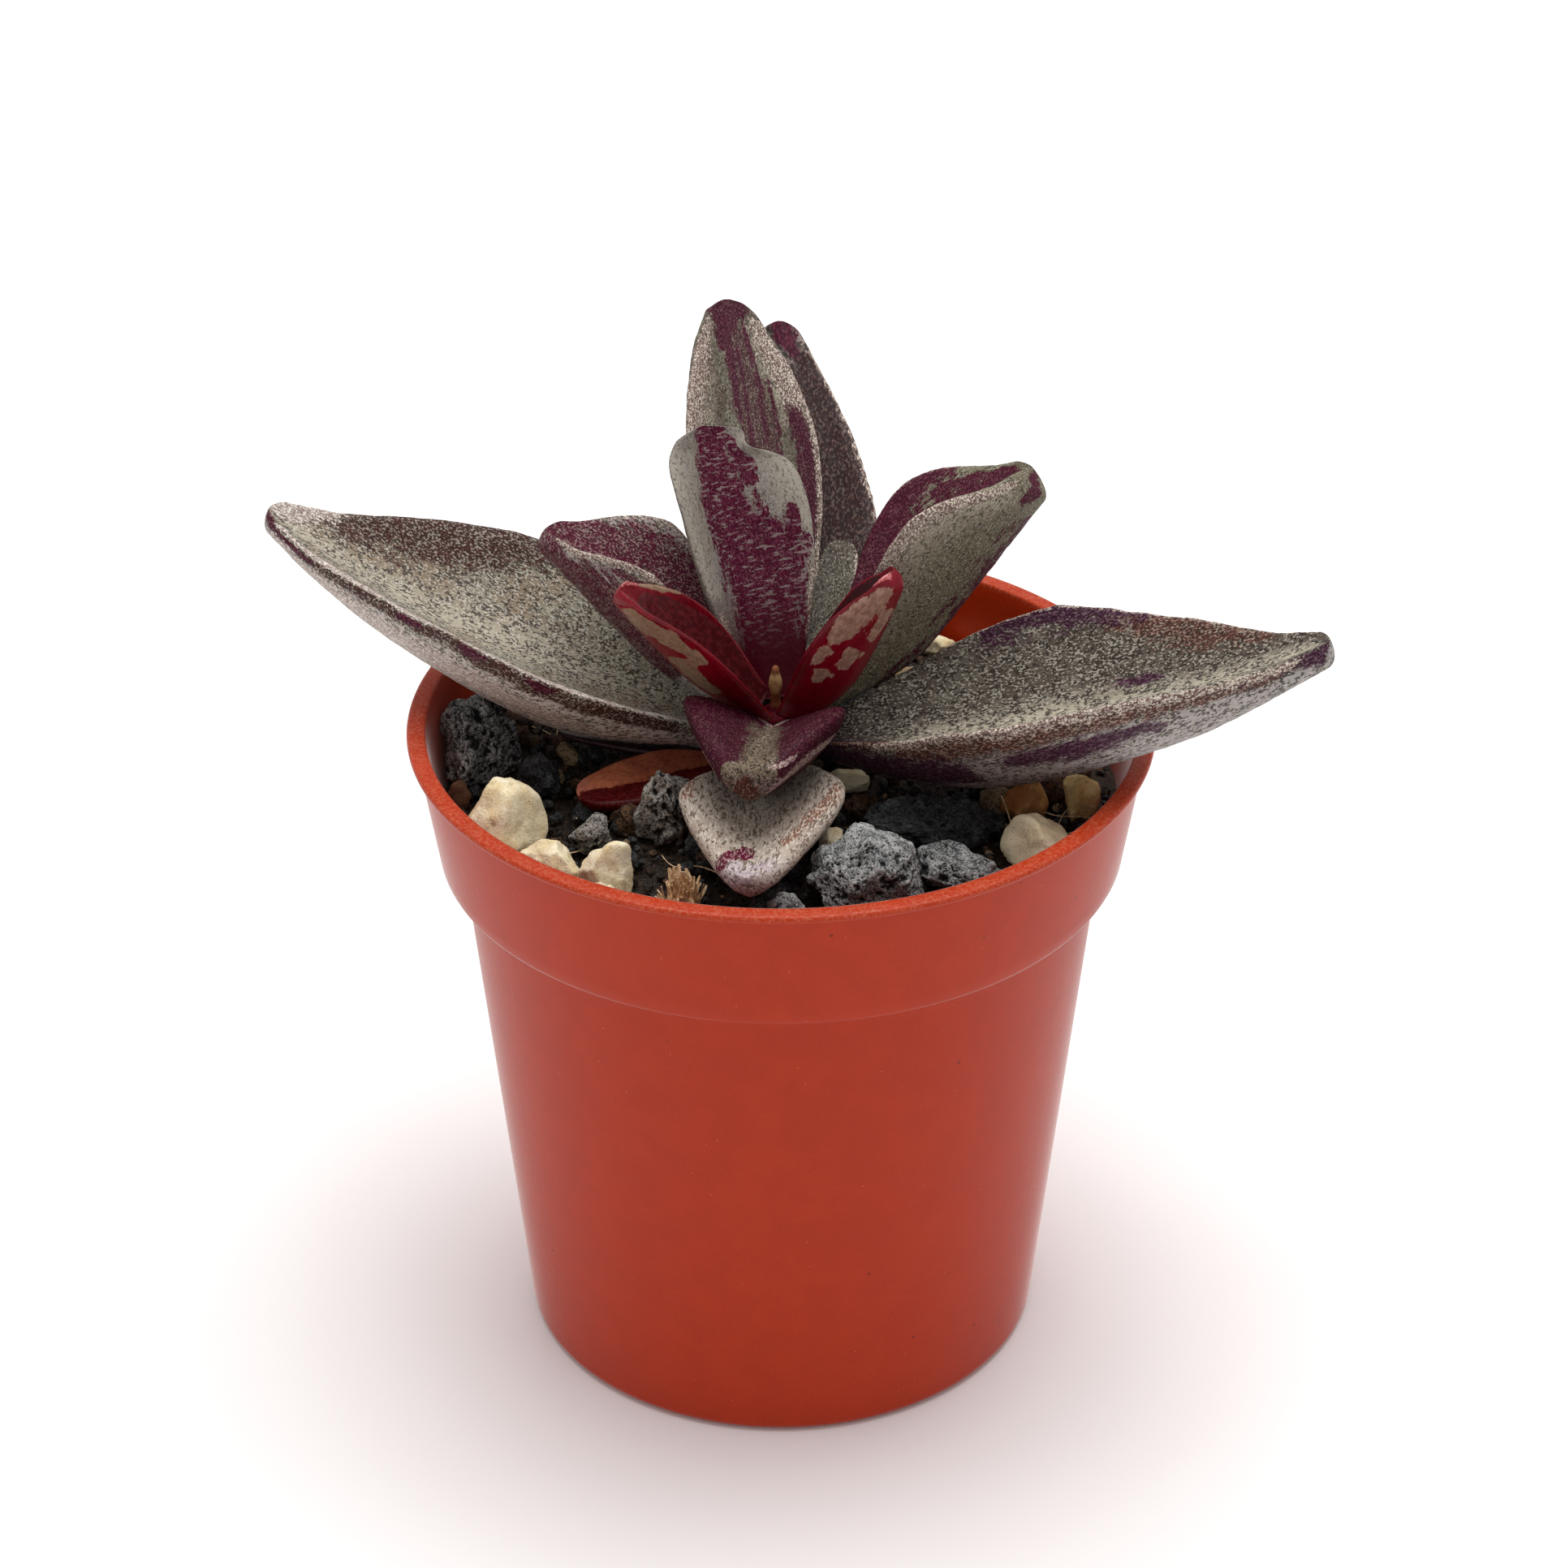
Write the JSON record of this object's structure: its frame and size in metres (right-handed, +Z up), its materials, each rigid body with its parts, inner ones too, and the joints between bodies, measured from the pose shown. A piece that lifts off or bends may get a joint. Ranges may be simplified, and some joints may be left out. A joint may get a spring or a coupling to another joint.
{
  "type": "potted lenophyllum",
  "caption": "Small guttate succulent with thick channelled leaves, growing in gritty soil with lava and pebbles in a round terracotta-coloured plastic nursery pot.",
  "frame": {"origin": "centre of the pot's flat underside, on the surface the pot stands on", "axes": "+Z up, +X towards the tip of the large right leaf, -Y towards the side where the short front leaves point"},
  "size_m": [0.0763, 0.0608, 0.0726],
  "materials": {
    "pot_plastic": "satin terracotta-coloured moulded plastic",
    "soil": "near-black damp gritty potting mix",
    "stem": "tan-brown plant stem and growing tip",
    "leaf_grey_green": "grey-green leaf skin with dark speckles and maroon blotches",
    "leaf_purple": "wine-purple leaf skin with pale crusty margins",
    "leaf_red": "glossy crimson young leaf skin",
    "leaf_brown": "orange-brown old leaf skin",
    "lava": "dark grey porous lava",
    "pebble": "matt ivory to ochre pebble",
    "dry_leaf": "tan fibrous withered leaf"
  },
  "bodies": {
    "root": {"pot": "pot_plastic", "soil": "soil", "stem": "stem", "leaf_left_large": "leaf_grey_green", "leaf_right_large": "leaf_grey_green", "leaf_back_tall": "leaf_grey_green", "leaf_back_low": "leaf_grey_green", "leaf_back_small": "leaf_grey_green", "leaf_right_middle": "leaf_grey_green", "leaf_front_lower": "leaf_grey_green", "leaf_back_inner": "leaf_purple", "leaf_left_middle": "leaf_purple", "leaf_front_upper": "leaf_purple", "leaf_soil_shaded": "leaf_purple", "leaf_left_red": "leaf_red", "leaf_right_red": "leaf_red", "leaf_soil_left": "leaf_brown", "lava_left": "lava", "lava_left_inner": "lava", "lava_front": "lava", "lava_flat": "lava", "lava_dark": "lava", "lava_porous": "lava", "lava_grey": "lava", "lava_back_left": "lava", "lava_back": "lava", "lava_back_right": "lava", "lava_front_small": "lava", "pebble_left": "pebble", "pebble_front_left": "pebble", "pebble_front": "pebble", "pebble_chip": "pebble", "pebble_brown": "pebble", "pebble_right": "pebble", "pebble_orange": "pebble", "pebble_yellow": "pebble", "pebble_shaded": "pebble", "pebble_middle": "pebble", "pebble_back_right": "pebble", "pebble_back_chip": "pebble", "pebble_back_left": "pebble", "dried_tuft": "dry_leaf"}
  },
  "joints": []
}
